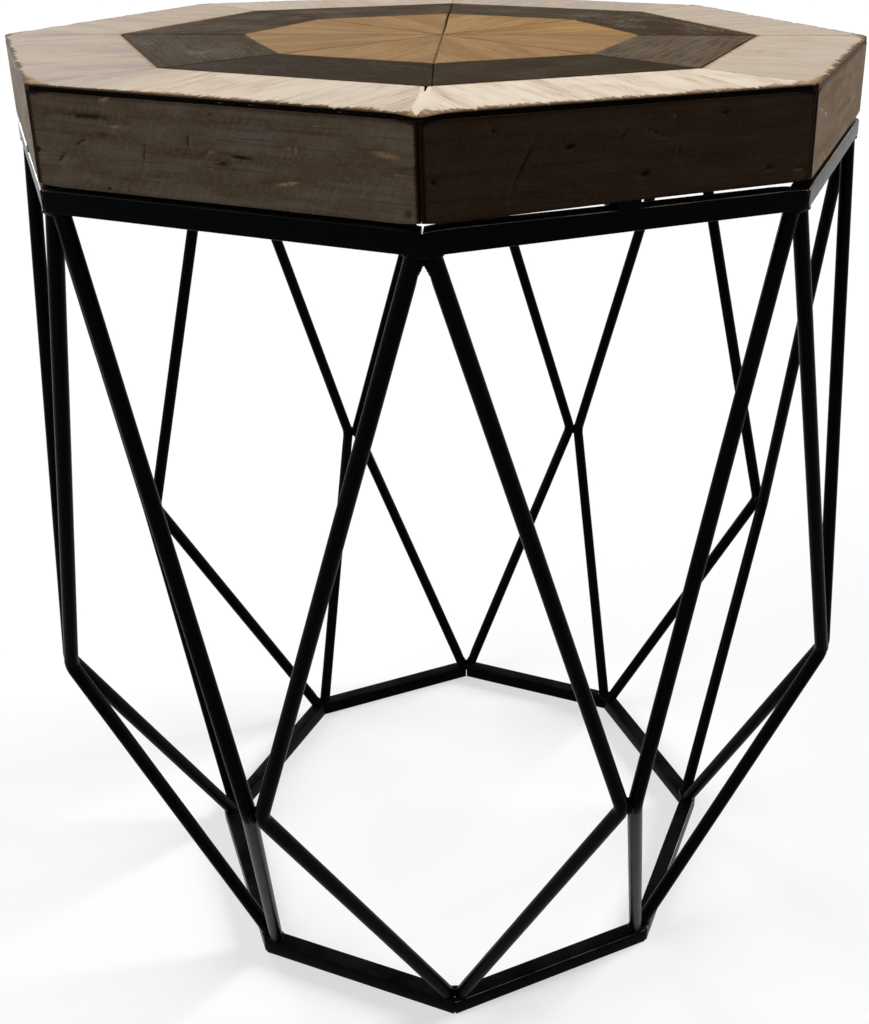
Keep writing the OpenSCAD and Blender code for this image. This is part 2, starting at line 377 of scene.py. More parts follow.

# %% [markdown]
# The dark ring inside the border is the same kind of board, stained grey-brown, with its
# grain along the slat. The two front slats are the darkest and the left ones a little dark. The
# far right slat is painted lighter, as sheen. The stain has lifted in places, which leaves pale
# grey strokes. A thin worn line follows the inner joint, and dirt lies in the other ones. The
# faces below the top, which show in the joints and the crack, are painted nearly black as
# shade.

# %% Dark stained inlay
def dark_wood():
    b = Board(bpy.data.materials.new("dark_wood"))
    along, out, up, side = b.where()
    streak = b.grain(along * 24, out * 640, side * 6.1, 4)
    fine = b.grain(along * 110, out * 1700, side * 2.3, 2)
    cloud = b.grain(along * 30, out * 44, side * 4.7, 4)
    stroke = b.grain((along + out) * 70, (along - out) * 520, side * 3.3, 3)
    rubbed = b.grain(along * 210, out * 90, side, 3)
    tone = b.grain(side * 2.1, 3.5, 0.5, 1)
    front = b.on_sides(side, LEFT_FRONT, RIGHT_FRONT)
    left = b.on_sides(side, FAR_LEFT, LEFT_FRONT)
    lifted = b.ease(stroke + (cloud - 0.5) * 0.9, 0.58, 0.72)
    rim = b.ease(out + (rubbed - 0.5) * 3 * MM, wedge_flat + 1.3 * MM, wedge_flat + 0.4 * MM)
    mitre = b.ease(out * FLARE - abs(along), 1.4 * MM, 0.3 * MM)
    split = front * b.ease(along * (side + 0.5), -20 * MM, -24 * MM)
    joint = b.ease(out + (rubbed - 0.5) * 1.2 * MM, band_flat - 1.2 * MM, band_flat - 0.4 * MM)
    paint = b.coats(
        b.blend(b.ease(cloud, 0.38, 0.62), (56, 44, 32), (76, 63, 48)),
        (b.ease(tone, 0.42, 0.6) * 0.4, (86, 76, 62)),
        (front * 0.6 + left * 0.24, (34, 26, 16)),
        # Painted sheen: the far right slat is lighter.
        (b.on_sides(side, FAR_RIGHT) * 0.38, (120, 103, 84)),
        (b.ease(streak, 0.48, 0.62) * 0.6, (44, 35, 26)),
        (b.ease(fine, 0.52, 0.66) * 0.3, (96, 84, 68)),
        (lifted * (0.4 - front * 0.3), (110, 105, 98)),
        (rim * 0.7, (146, 112, 72)),
        (mitre * (1 - split) * 0.8, (28, 21, 15)),
        (b.cross_joint(2.4 * MM) * 0.85, (24, 18, 13)),
        (joint * 0.75, (28, 21, 15)),
        # Painted shade on the faces below the top, which show in the joints and the crack.
        (b.below_top(up), (22, 16, 11)))
    height = streak * 0.6 + fine * 0.4
    return finish_of(paint, 0.62 + streak * 0.2, b.bump(height, 0.2 * MM), Specular_IOR_Level=0.006)


dark_stain = dark_wood()

# %% [markdown]
# The eight wedges in the middle are bare honey-coloured wood. Their grain runs out from the
# middle, so they make a star, and dirt has gathered in the seams and round the centre.

# %% Honey-coloured wood
def honey_wood():
    b = Board(bpy.data.materials.new("honey_wood"))
    along, out, up, side = b.where()
    broad = b.grain(along * 70, out * 9, side * 5.3, 3)
    streak = b.grain(along * 760, out * 22, side * 8.9, 4)
    fine = b.grain(along * 1700, out * 75, side * 1.7, 3)
    tone = b.grain(side * 3.7, 0.5, 0.5, 1)
    from_seam = out * FLARE - abs(along)
    dashes = b.ease(b.grain(along * 90, out * 90, side, 1), 0.5, 0.56)
    dashes = dashes * b.ease(out, 60 * MM, 30 * MM)
    torn = b.ease(from_seam, 2.0 * MM, 0.9 * MM) * b.on_sides(side, LEFT_BACK)
    torn = torn * b.ease(along, 0.0, -1 * MM) * b.ease(out, 0.3 * wedge_flat, 0.5 * wedge_flat)
    paint = b.coats(
        b.blend(b.ease(broad, 0.38, 0.62), (163, 127, 80), (137, 103, 61)),
        (b.ease(tone, 0.42, 0.6) * 0.45, (138, 113, 84)),
        (b.ease(streak, 0.5, 0.64) * 0.5, (124, 93, 60)),
        (b.ease(fine, 0.58, 0.68) * 0.55, (84, 60, 37)),
        (b.ease(from_seam, 1.3 * MM, 0.2 * MM) * 0.6, (78, 57, 37)),
        (b.cross_joint(1.6 * MM) * dashes * 0.8, (40, 29, 19)),
        (torn * b.ease(streak, 0.4, 0.5) * 0.85, (66, 48, 32)),
        (b.ease(out, 14 * MM, 2 * MM) * 0.3, (112, 90, 66)),
        # Painted shade on the faces below the top, which show in the seams and the crack.
        (b.below_top(up), (26, 18, 12)))
    height = streak * 0.6 + fine * 0.4
    return finish_of(paint, 0.62 + streak * 0.18, b.bump(height, 0.2 * MM), Specular_IOR_Level=0.02)


honey = honey_wood()

# %% [markdown]
# The apron boards make the thick edge of the top. They're stained like the dark ring, the
# right front board browner and the one beside it more tan. They take the knocks: dark grain
# lines, steep saw marks and dents that show bare wood. They're darker at the mitre corners and
# just under the top near them, which is dirt and painted shade. A band under the slats is
# painted darker as their shade. The mesh marks the dents and scratches, with a mark above
# zero where bare wood shows, and below zero where dirt has filled them and where the corners
# are painted darker.

# %% Apron wood
def apron_wood():
    b = Board(bpy.data.materials.new("apron_wood"))
    along, out, up, side = b.where()
    streak = b.grain(along * 13, (up + out) * 210, side * 6.7, 4)
    line = b.grain(along * 24, (up + out) * 800, side * 8.3, 3)
    cloud = b.grain(along * 34, up * 90, side * 3.9, 5)
    speck = b.grain(along * 640, up * 560, side * 1.3, 4)
    saw = b.grain(along * 45 + up * 80, along * 620 - up * 330, side * 4.3, 3)
    rag = b.grain(along * 420, up * 800, side, 4, 0.62)
    mark = b.mark()
    bare = b.ease(mark + (rag - 0.5) * 1.5, 0.3, 0.62)
    # Dark scratches and knots, and the darker corners, which are dirt and painted shade.
    dirt_and_shade = b.ease((rag - 0.5) * 0.7 - mark, 0.2, 0.75)
    bare_wood = b.blend(b.ease(rag, 0.4, 0.6), (196, 168, 130), (134, 107, 76))
    paint = b.coats(
        b.blend(b.ease(cloud, 0.36, 0.64), (103, 87, 70), (120, 106, 90)),
        (b.ease(streak + (cloud - 0.5) * 0.4, 0.52, 0.64) * 0.5, (82, 60, 42)),
        (b.ease(speck, 0.44, 0.62) * 0.3, (130, 119, 106)),
        (b.ease(cloud + (speck - 0.5) * 0.6, 0.58, 0.72) * 0.3, (108, 109, 112)),
        (b.ease(saw + (cloud - 0.5) * 0.9, 0.53, 0.69) * 0.26, (140, 129, 114)),
        (b.ease(line, 0.58, 0.7) * 0.35, (62, 45, 31)),
        (b.on_sides(side, RIGHT_FRONT) * 0.5, (84, 54, 32)),
        (b.on_sides(side, FAR_RIGHT) * 0.4, (100, 80, 60)),
        # Painted shade: a darker band just under the overhanging slats.
        (b.ease(up, slat_z - 2.4 * MM, slat_z - 0.2 * MM) * 0.6, (48, 36, 26)),
        (bare * 0.8, bare_wood),
        (dirt_and_shade * 0.88, (26, 18, 12)))
    height = streak * 0.4 + line * 0.3 + speck * 0.3 + saw * 0.2
    return finish_of(paint, 0.62 + streak * 0.2 + dirt_and_shade * 0.1, b.bump(height, 0.25 * MM),
                     Specular_IOR_Level=0.015)


apron_stain = apron_wood()

# %% [markdown]
# The panel under the slats shows only from below. It's plain softwood ply, with broad pale
# grain and no stain. Its upper face, which is seen only down the crack, is painted nearly
# black as the shade at the bottom of the crack.

# %% Panel wood
def panel_wood():
    b = Board(bpy.data.materials.new("panel_wood"))
    x, y, z = b.position()
    bend = b.grain(x * 6, y * 2, 0.0, 2)
    rings = b.grain(x * 55 + bend * 5, y * 3, 1.0, 3)
    fine = b.grain(x * 900, y * 20, 2.0, 3)
    paint = b.coats(
        b.blend(b.ease(rings, 0.36, 0.64), (186, 158, 118), (156, 124, 84)),
        (b.ease(fine, 0.5, 0.75) * 0.4, (122, 94, 62)),
        # Painted shade: the upper face, seen only at the bottom of the crack, is nearly black.
        (b.ease(z, slat_z - 0.6 * MM, slat_z - 0.2 * MM), (24, 17, 12)))
    return finish_of(paint, 0.65 + fine * 0.15, b.bump(fine, 0.15 * MM), Specular_IOR_Level=0.2)


ply = panel_wood()

# %% [markdown]
# The cage is painted satin black. Black paint isn't one flat black: it's a little uneven
# where the brush or the gun passed, duller where dust lies on faces that look up, and finely
# pebbled, which breaks its highlights. Along the outer arrises of the rings it's rubbed thin.
# There, a grey, half-metallic line is painted as a highlight, strongest on the front right
# and far right rings. The mesh marks where.

# %% Black paint on steel
def black_metal():
    b = Board(bpy.data.materials.new("black_metal"))
    x, y, z = b.position()
    patch = b.grain(x * 60, y * 60, z * 30, 3)
    pebble = b.grain(x * 900, y * 900, z * 900, 2)
    dust = b.ease(b.facing_up(), 0.35, 0.95) * b.ease(patch, 0.3, 0.7)
    # Rubbed paint on the arrises, with a painted highlight: grey and partly metallic.
    rubbed_and_highlight = b.ease(b.mark() + (pebble - 0.5) * 0.3 + (patch - 0.5) * 0.9, 0.42, 1.1)
    paint = b.coats(b.blend(patch, (1, 2, 3), (5, 6, 7)),
                    (dust * 0.5, (22, 20, 18)), (rubbed_and_highlight, (112, 102, 92)))
    rough = 0.2 + patch * 0.12 + dust * 0.26
    return finish_of(paint, rough, b.bump(pebble + patch * 2, 0.03 * MM),
                     Specular_IOR_Level=0.018, Metallic=rubbed_and_highlight * 0.6)


black_paint = black_metal()

# %% [markdown]
# The screws are zinc-plated steel. The plating has dulled in small spots, which is all that
# can be seen of it from below.

# %% Zinc on the screws
def screw_steel():
    b = Board(bpy.data.materials.new("screw_steel"))
    x, y, z = b.position()
    patch = b.grain(x * 700, y * 700, z * 700, 3)
    paint = b.blend(patch, (178, 172, 156), (132, 128, 120))
    return finish_of(paint, 0.26 + patch * 0.25, b.bump(patch, 0.02 * MM), Metallic=1.0)


zinc = screw_steel()

# %% [markdown]
# Nearly every piece here is a section carried along a line: a slat is its profile carried
# along the side, a rod is a circle carried along its bent centreline, a weld is a lumpy
# circle carried along a joint. So one helper skins any row of loops, closes the ends, and
# makes one object of several such skins. It also stores a mark for each point, which a
# finish can read.

# %% Skin rows of loops
def skin(name, rows, finish, slot, *nodes, mark=None, sharp=40, rings=False):
    """An object of one or more skins. Each of rows is an array of loops, [loop, point, 3]."""
    points, faces, marks, base = [], [], [], 0
    for i, loops in enumerate(rows):
        n, m = loops.shape[:2]
        number = base + np.arange(n * m).reshape(n, m)
        after = np.roll(number, -1, axis=1)
        for j in range(n if rings else n - 1):
            k = (j + 1) % n
            faces += np.stack((number[j], after[j], after[k], number[k]), axis=-1).tolist()
        if not rings:
            faces += [number[0][::-1].tolist(), number[-1].tolist()]
        points.append(loops.reshape(-1, 3))
        marks.append(np.zeros(n * m) if mark is None else mark[i].reshape(-1))
        base += n * m
    mesh = bpy.data.meshes.new(name)
    mesh.from_pydata(np.concatenate(points).tolist(), [], faces)
    mesh.validate()
    if mark is not None:
        mesh.attributes.new("mark", "FLOAT", "POINT").data.foreach_set(
            "value", np.concatenate(marks).astype(np.float32))
    mesh.shade_smooth()
    mesh.set_sharp_from_angle(angle=math.radians(sharp))
    mesh.materials.append(finish)
    piece = put(name, mesh)
    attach(piece, "root")
    if nodes:
        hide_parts(*nodes)


def wave(points, grains, seed=0.0):
    """Smooth noise, about -1 to 1, at each of an array of places, counted in grains."""
    flat = (np.asarray(points, float) * grains).reshape(-1, 3)
    found = [noise.noise(Vector((p[0] + seed, p[1] - seed, p[2] + 0.37 * seed))) for p in flat]
    return np.array(found).reshape(np.shape(points)[:-1])


# %% [markdown]
# The seams aren't all alike. Most are a hair wide. At the front and the back the wood has
# shrunk, and one crack runs from the white border at the front through the middle to the back,
# widest behind the centre. In front it leaves the mitre and splits the dark slat beside it, and
# the mitre of the border itself is open for a little way. Both slats beside a seam read its
# width and its wander from the same function, so the crack stays one crack.

# %% Seams between the slats
HAIR = 0.12 * MM
WANDER, CALM_MIDDLE, CALM_RIM = 0.9 * MM, 30 * MM, 12 * MM
SPLIT_ASIDE = 2.2 * MM
MITRE_OPEN, MITRE_OPEN_HALF = 15 * MM, 0.85 * MM
# Half the width of the crack at distances from the middle, both in mm.
CRACK = {FRONT_CORNER: ((0, 103, 105, 167), (0.1, 0.15, 0.42, 0.72)),
         BACK_CORNER: ((2, 5, 60, 103, 105, 167), (0.12, 0.42, 0.5, 0.78, 0.2, 0.12))}


def seam(corner, out):
    """How far a seam wanders from its corner's line, and half its width, at out."""
    corner = (corner - 1) % SIDES + 1
    spots = np.stack(np.broadcast_arrays(out, corner * 3.1, 0.0), axis=-1)
    ragged = 1 + 0.45 * wave(spots, (300, 1, 1), corner)
    if corner not in CRACK:
        return np.zeros_like(out), HAIR * ragged
    in_inlay = out < (band_flat + border_in) / 2
    crack = MM * np.interp(out / MM, *CRACK[corner])
    calm = np.clip(out / CALM_MIDDLE, 0, 1) * np.clip((border_in - out) / CALM_RIM, 0, 1)
    drift = WANDER * wave(spots, (24, 1, 1), corner * 1.7) * calm
    if corner == BACK_CORNER:
        return drift * in_inlay, (HAIR + (crack - HAIR) * in_inlay) * ragged
    over_band = np.clip((out - wedge_flat) / (band_flat - wedge_flat), 0, 1)
    drift = drift + SPLIT_ASIDE * over_band ** 1.5
    mitre = HAIR + (MITRE_OPEN_HALF - HAIR) * np.clip(1 - (out - border_in) / MITRE_OPEN, 0, 1)
    return drift * in_inlay, np.where(in_inlay, crack, mitre) * ragged


def between_seams(side, share, out):
    """Distance along a side at a share, -1 to 1, of the way from one seam to the other."""
    left_drift, left_half = seam(side, out)
    right_drift, right_half = seam(side + 1, out)
    left = -out * FLARE + (left_drift + left_half) / math.cos(HALF)
    right = out * FLARE + (right_drift - right_half) / math.cos(HALF)
    return left + (right - left) * (share + 1) / 2


# %% [markdown]
# A border slat is a thin flat board. Its outer edge has been knocked soft and chipped. The
# profile goes up the edge, round it and in across the top. Where the edge has chipped, the
# profile is pushed in and down, more at the edge and less along the grain.

# %% Border slats
EDGE_ROUND = 0.7 * MM
CHIP_DEPTH = 1.1 * MM
FRONT_KNOCK, KNOCK_WIDTH, KNOCK_DEPTH = 2.0 * MM, 24 * MM, 7 * MM
COLUMNS = 170
# A tone under 0.45 also gives a slat's edge the nearly black painted shade.
SLAT_TONES = {1: 0.08, 2: 0.62, 3: 0.7, 4: 0.85, 5: 0.7, 6: 0.95, 7: 1.0, 8: 0.32}


def by_the_corner(share, flat, width):
    """1 at a corner, down to 0 at a width from it."""
    return np.clip(1 - (1 - np.abs(share)) * flat * FLARE / width, 0, 1)


def sunk_front(side, share, inset):
    """How far the top is knocked down at the front corner."""
    at_front = (share > 0) if side == LEFT_FRONT else (share < 0) * (side == RIGHT_FRONT)
    near = by_the_corner(share, top_flat, KNOCK_WIDTH) ** 2
    return FRONT_KNOCK * at_front * near * np.exp(-inset / KNOCK_DEPTH)


def border_profile():
    """Distance in from the edge and height of the profile's points, from the inner foot."""
    depth = top_flat - border_in
    thick = top_z - slat_z
    turn = np.radians(np.arange(0, 91, 22.5))
    foot = [(depth, 0), (0.3 * MM, 0), (0.2 * MM, 0.35 * thick), (0.05 * MM, 0.6 * thick)]
    edge = [(EDGE_ROUND * (1 - math.cos(a)), thick - EDGE_ROUND * (1 - math.sin(a))) for a in turn]
    near_edge = np.arange(1.1 * MM, 11 * MM, 0.75 * MM)
    top = [(d, thick) for d in (*near_edge, *np.linspace(12 * MM, depth - 1 * MM, 18))]
    inner = [(depth - 0.2 * MM, thick - 0.03 * MM), (depth, thick - 0.25 * MM)]
    return np.array(foot + edge + top + inner)


def border_slat(side):
    profile = border_profile()
    thick = top_z - slat_z
    share = np.linspace(-1, 1, COLUMNS)[:, None]
    inset, height = profile[:, 0][None], profile[:, 1][None]
    out = top_flat - inset + 0 * share
    along = between_seams(side, share, out)
    at_edge = place(side, along, top_flat + 0 * out, 0.0)
    ragged = 0.5 + 0.6 * wave(at_edge, 95, side) + 0.3 * wave(at_edge, 310, side + 9)
    chips = np.clip(wave(at_edge, 170, side + 4) + 0.6 * wave(at_edge, 560, side + 2) - 0.3, 0, 1)
    softened = np.exp(-inset / (2.4 * MM)) * (height > 0.5 * thick)
    out = out - (0.25 * MM * np.clip(ragged, 0, 1) + CHIP_DEPTH * chips) * softened
    rise = 0.05 * MM * wave(place(side, along * 14, out, 0.0), 60, side)
    up = slat_z + height - softened * (0.3 * MM * np.clip(ragged, 0, 1) + 0.8 * CHIP_DEPTH * chips)
    up = up - (inset > EDGE_ROUND) * (height > 0.9 * thick) * (0.07 * MM + rise)
    corner_round = np.clip(3 * MM - (1 - np.abs(share)) * top_flat * FLARE, 0, None) ** 2 / (6 * MM)
    out = out - corner_round * np.exp(-inset / (3 * MM))
    up = slat_z + (up - slat_z) * (1 - sunk_front(side, share, inset) / thick)
    loops = place(side, between_seams(side, share, out), out, np.minimum(up, top_z))
    return loops, SLAT_TONES[side] + 0 * out


for side in sides:
    loops, tone = border_slat(side)
    skin(f"pale_slat_{side}", [loops], whitewash, "whitewashed_wood",
         f"border_slat_{side}", mark=[tone])
print("border slats, each of", loops.shape[0] * loops.shape[1], "points")

# %% [markdown]
# At the front corner the mitre had opened, and it was filled with a smear of pale filler,
# about five millimetres wide. The smear lies on both slats, splits into two lips where the
# mitre is still open, and ends in a blunt tip on the knocked corner. Two specks on it are
# painted nearly white and bluish, as highlights. Each strip follows the sunk surface, so that
# it lies on the wood.

# %% Filler at the front corner
FILLER_START = border_in / math.cos(HALF) + 1.0 * MM
FILLER_STOP = top_flat / math.cos(HALF) - 3.2 * MM
FILM_OVER, FILM_UNDER = 0.1 * MM, 0.3 * MM


def filler_strip(middle, half, shares):
    """Loops of a flat strip of filler, at shares of the way out along the front mitre."""
    runs = FILLER_START + (FILLER_STOP - FILLER_START) * shares
    turn = np.linspace(0, 2 * math.pi, 28, endpoint=False)
    upper = np.sin(turn) > 0
    loops, marks = [], []
    for at, run, mid, wide in zip(shares, runs, middle, half):
        wide *= 1 + 0.16 * noise.noise(Vector((run * 260, 2 + mid * 900, 0)))
        across = mid + wide * np.cos(turn)
        out = run * math.cos(HALF) + np.abs(across) * math.sin(HALF)
        along = np.abs(across) * math.cos(HALF) - run * math.sin(HALF)
        sunk = sunk_front(1, along / (out * FLARE), top_flat - out)
        film = np.where(upper, FILM_OVER * np.abs(np.sin(turn)) ** 0.4, -FILM_UNDER)
        up = top_z - 1.05 * FILM_OVER - sunk + film
        loops.append(np.stack((across, -run + 0 * across, up), axis=-1))
        # Two specks of painted highlight on the filler, marked -2.
        large_highlight = (abs(at - 0.35) < 0.045) * (np.abs(np.cos(turn) + 0.2) < 0.14)
        small_highlight = (abs(at - 0.52) < 0.02) * (np.abs(np.cos(turn) + 0.3) < 0.1)
        marks.append(-1.0 - np.maximum(large_highlight, small_highlight) * upper * (wide > 1.6 * MM))
    return np.array(loops), np.array(marks)


def filler_smear():
    """The body of the smear, and the two lips that it leaves beside the open mitre."""
    shares = np.concatenate(
        ([0.2, 0.205, 0.215], np.linspace(0.23, 0.95, 40), [0.965, 0.98, 0.99, 1]))
    middle = np.interp(shares, [0.2, 0.55, 0.8, 1], np.array([0.0, -0.1, -0.9, -0.9]) * MM)
    half = np.interp(shares, [0.2, 0.23, 0.4, 0.8, 0.93, 0.99, 1],
                     np.array([0.5, 1.7, 2.4, 2.5, 1.5, 0.6, 0.2]) * MM)
    strips = [filler_strip(middle, half, shares)]
    lip = np.linspace(0, 0.3, 18)
    swell = np.interp(lip, [0, 0.02, 0.2, 0.3], np.array([0.15, 0.7, 0.95, 1.3]) * MM)
    for way in (1, -1):
        strips.append(filler_strip(way * (1.75 - 2.2 * lip) * MM, swell, lip))
    return [s[0] for s in strips], [s[1] for s in strips]


smears, smear_marks = filler_smear()
skin("corner_filler", smears, whitewash, "whitewashed_wood", mark=smear_marks, sharp=80)
print("filler in", len(smears), "strips")

# %% [markdown]
# The dark slats and the wedges are flat boards with crisp edges that were sanded with the rest
# of the top. Each lies a hair higher or lower than its neighbour, which catches the light at
# the joints.

# %% Inlaid slats
def inlay_slat(side, inner, outer, steps, columns):
    """One board of the inlay: up its outer edge, in across its top and down its inner edge."""
    thick = top_z - slat_z
    level = 0.05 * MM * (1 + noise.noise(Vector((side * 2.3, outer * 90, 0))))
    soft = 0.22 * MM
    across = np.linspace(outer - 1.5 * MM, inner + 1.2 * soft, steps)
    outs = np.array([inner, outer, outer, outer - soft, *across, inner])
    ups = np.array([0, 0, thick - soft, thick] + [thick] * steps + [thick - soft])
    share = np.linspace(-1, 1, columns)[:, None]
    crisp = np.sign(share) * np.abs(share) ** 0.8
    out = outs[None] + 0 * share
    along = between_seams(side, crisp, out)
    out = np.minimum(out, (outer - np.abs(along) * math.sin(STEP)) / math.cos(STEP))
    rise = 0.04 * MM * wave(place(side, along, out, 0.0), 45, side)
    up = slat_z + ups[None] - (ups[None] > 0) * (level + np.abs(rise))
    dip = 0.25 * MM * np.clip(1 - (1 - np.abs(crisp)) * out * FLARE / (0.5 * MM), 0, 1)
    return place(side, along, out, up - dip * (ups[None] > thick / 2))


band_rows = [inlay_slat(s, wedge_flat + 0.2 * MM, band_flat, 20, 60) for s in sides]
skin("dark_slats", band_rows, dark_stain, "dark_wood", "band_slats", sharp=30)
wedge_rows = [inlay_slat(s, 0.5 * MM, wedge_flat - 0.1 * MM, 34, 40) for s in sides]
skin("honey_wedges", wedge_rows, honey, "honey_wood", "centre_wedges", sharp=30)
print("inlay of", len(band_rows), "dark slats and", len(wedge_rows), "wedges")

# %% [markdown]
# The apron boards are mitred at the corners, and their arrises have been knocked round. The
# outer face is a fine grid, so that dents and scratches are real hollows in it. Some marks
# are scattered at random. The ones that stand out in the photograph, on the two front
# boards, are listed one by one: each is a short stroke with its middle, length, width, tilt and
# kind, above zero for bare wood and below for a dark scratch or a knot.

# %% Marks on the apron boards
MARKS = {
    LEFT_FRONT: [
        (-54, 39.5, 9, 2.6, 15, 0.8), (-63, 31.8, 36, 3.4, 0, -0.68), (-71, 31, 4, 1.6, 60, 0.7),
        (-49.6, 28.7, 9, 1.6, -5, 0.9), (-91.5, 15.5, 2.4, 2.4, 0, -1.0),
        (-79.4, 13, 12, 1.8, 45, -0.72), (-68.1, 20.6, 11, 1.8, 28, -0.72),
        (-56, 24.4, 12, 1.8, 2, -0.72), (-35.6, 17.5, 17, 1.5, 76, -0.7),
        (-12.6, 25, 8, 1.5, 86, -0.8), (-1.8, 20.9, 6, 2.0, 5, 0.8), (4, 16.7, 11, 3.2, 3, -0.72),
        (-2, 14, 9, 2.0, -12, 0.6), (-0.9, 37.2, 2, 1.8, 0, -0.9), (-55.9, 1.6, 4, 2.0, 0, -0.8),
        (-45.2, 2.1, 3, 1.6, 0, -0.7), (-63.6, 6.3, 3, 2.0, 30, -0.6), (-30, 8.5, 26, 3.0, 0, -0.5),
        (80, 26.5, 22, 4.4, -6, 0.66), (86, 19, 11, 2.4, 0, 0.6), (25, 11, 10, 2.2, 8, -0.62),
        (34, 10.8, 17, 2.2, 10, 1.0), (12.5, 20.2, 16, 2.2, -4, -1.0),
        (39.3, 25.4, 5.5, 1.2, 88, 0.9), (35.5, 25.6, 6, 3.4, 0, 0.6), (50, 36, 10, 1.4, 0, 0.6),
        (89, 3.6, 6, 5.0, 60, -0.6),
    ],
    RIGHT_FRONT: [
        (-50, 20, 29, 1.4, 62, -0.8), (-29, 25.6, 7, 2.4, 5, -1.0), (-63, 35, 3, 2.0, 0, -0.9),
        (-89, 16.3, 3.4, 3.4, 0, -0.9), (-28.7, 7.9, 6, 4.0, 0, 0.4), (20.7, 34.8, 3, 3.0, 0, 0.75),
        (-4, 28.5, 12, 1.3, 40, -0.7), (12, 28.5, 22, 1.3, -20, -0.7), (23.5, 19, 8, 1.2, 85, -0.6),
        (87.5, 5.5, 10, 2.0, -12, 0.9), (88.3, 2.6, 8, 1.6, -6, 0.8), (45.8, 34.5, 5, 2.2, 0, -0.9),
        (6.7, 11, 7, 3.4, 0, -0.8), (71, 8.3, 8, 2.4, 0, -0.8), (60, 24, 26, 1.4, 3, -0.5),
    ],
}


def scattered_marks(side):
    """Marks for a board that the photograph doesn't show well, the same on each run."""
    rng = np.random.default_rng(40 + side)
    marks = []
    for _ in range(13):
        kind = rng.choice([-0.85, -0.7, 0.6, 0.8])
        marks.append((rng.uniform(-88, 88), rng.uniform(3, 35), rng.uniform(3, 22),
                      rng.uniform(1.2, 2.6), rng.normal(0, 25), kind))
    return marks


print(sum(len(m) for m in MARKS.values()), "marks placed by hand")

# %% [markdown]
# The boards hang down a little unevenly, which is why the slit under them is wide at one end
# and closed at the other. Their lower edges are chipped, and the arris at each mitre is round.
# The same numbers warp the upper ring, because board and ring were fitted to each other.

# %% Apron boards
CORNER_ROUND = 1.8 * MM
ARRIS = 0.7 * MM
DENT = 0.35 * MM
WARPS = (1.05, 0.32, 0.25, 0.3, 0.3, 0.2, 0.2, 0.2, 0.2, 0.2, 0.3, 0.3, 0.5, 0.7, 1.15, 0.95)


def warp(side, share):
    """How far the boards hang down and the ring stands up, from corner 1 on in half sides."""
    given = [WARPS[(2 * side - 2 + i) % len(WARPS)] for i in range(3)]
    return MM * np.interp(share, [-1, 0, 1], given)


def close_at_ends(half, from_end, count):
    """Shares of a side, -1 to 1: count of them evenly, and more at distances from its ends."""
    near, inner = from_end[:-1], from_end[-1]
    middle = np.linspace(-half + inner, half - inner, count)
    return (np.concatenate((-half + near, middle, half - near[::-1])) / half)[:, None]


def between_mitres(side, share, out, up, gap):
    """Points at a share of the way along a side, kept a gap away from the mitres."""
    limit = out * FLARE - gap
    return place(side, np.clip(out * FLARE * share, -limit, limit), out, up)


def apron_board(side):
    """The board's section, up its outer face and round by its rebate, carried along it."""
    foot, head = apron_z, slat_z
    rows = np.linspace(foot + ARRIS, head - ARRIS / 2, 34)
    outs = np.array([apron_in, apron_flat - ARRIS, apron_flat - 0.3 * ARRIS]
                    + [apron_flat] * len(rows)
                    + [apron_flat - ARRIS / 2, panel_flat, panel_flat, apron_in])
    ups = np.array([foot, foot, foot + 0.3 * ARRIS, *rows, head, head, panel_z, panel_z])
    reach_along = apron_flat * FLARE
    near_mitre = np.array([0, 0.15, 0.35, 0.6, 0.9, 1.3, 1.8, 2.4]) * MM
    share = close_at_ends(reach_along, near_mitre, 168)
    out, up = outs[None] + 0 * share, ups[None] + 0 * share
    along = out * FLARE * share
    on_face = (outs[None] > apron_flat - 1.2 * ARRIS) * np.clip((up - foot) / ARRIS, 0.4, 1)
    from_corner = reach_along * (1 - np.abs(share))
    rounded = np.clip(CORNER_ROUND - from_corner, 0, None) ** 2 / (2 * CORNER_ROUND)
    spots = place(side, along, out, up)
    swell = 0.12 * MM * (wave(spots, 14, side) - 1) + 0.05 * MM * wave(spots, 70, side + 3)
    knocks = np.clip(wave(place(side, along, out, 0.0), 120, side + 6) - 0.25, 0, 1)
    foot_chip = knocks * np.clip(1 - (up - foot) / (1.8 * MM), 0, 1)
    mark, hollow = np.zeros_like(out), np.zeros_like(out)
    for a, h, length, width, tilt, kind in MARKS.get(side) or scattered_marks(side):
        da, dh = along / MM - a, (up - foot) / MM - h
        c, s = math.cos(math.radians(tilt)), math.sin(math.radians(tilt))
        lengthwise, crosswise = (da * c + dh * s) / (length / 2), (dh * c - da * s) / (width / 2)
        stroke = np.clip(1.25 - np.hypot(lengthwise, crosswise), 0, 1)
        mark += kind * stroke * (outs[None] > apron_flat - ARRIS)
        hollow = np.maximum(hollow, abs(kind) * stroke)
    # Darker along each mitre corner and under the top near the corners: dirt and painted shade.
    corner_dirt_and_shade = np.clip(1.5 - from_corner / (2.4 * MM), 0, 1)
    top_dirt_and_shade = 1.6 * by_the_corner(share, apron_flat, 18 * MM) - (head - up) / (2.4 * MM)
    corner_dirt_and_shade = np.maximum(corner_dirt_and_shade, np.clip(top_dirt_and_shade, 0, 1))
    out = out + (swell - rounded - DENT * hollow - 0.8 * MM * foot_chip) * on_face
    mark = np.clip(mark, -1, 1) + 0.5 * foot_chip - 0.8 * corner_dirt_and_shade * on_face
    sag = warp(side, share) - 0.9 * MM * by_the_corner(share, apron_flat, 11 * MM) ** 1.5
    up = up - np.clip(1 - (up - foot) / (8 * MM), 0, 1) * sag
    return between_mitres(side, share, out, up, HAIR), mark


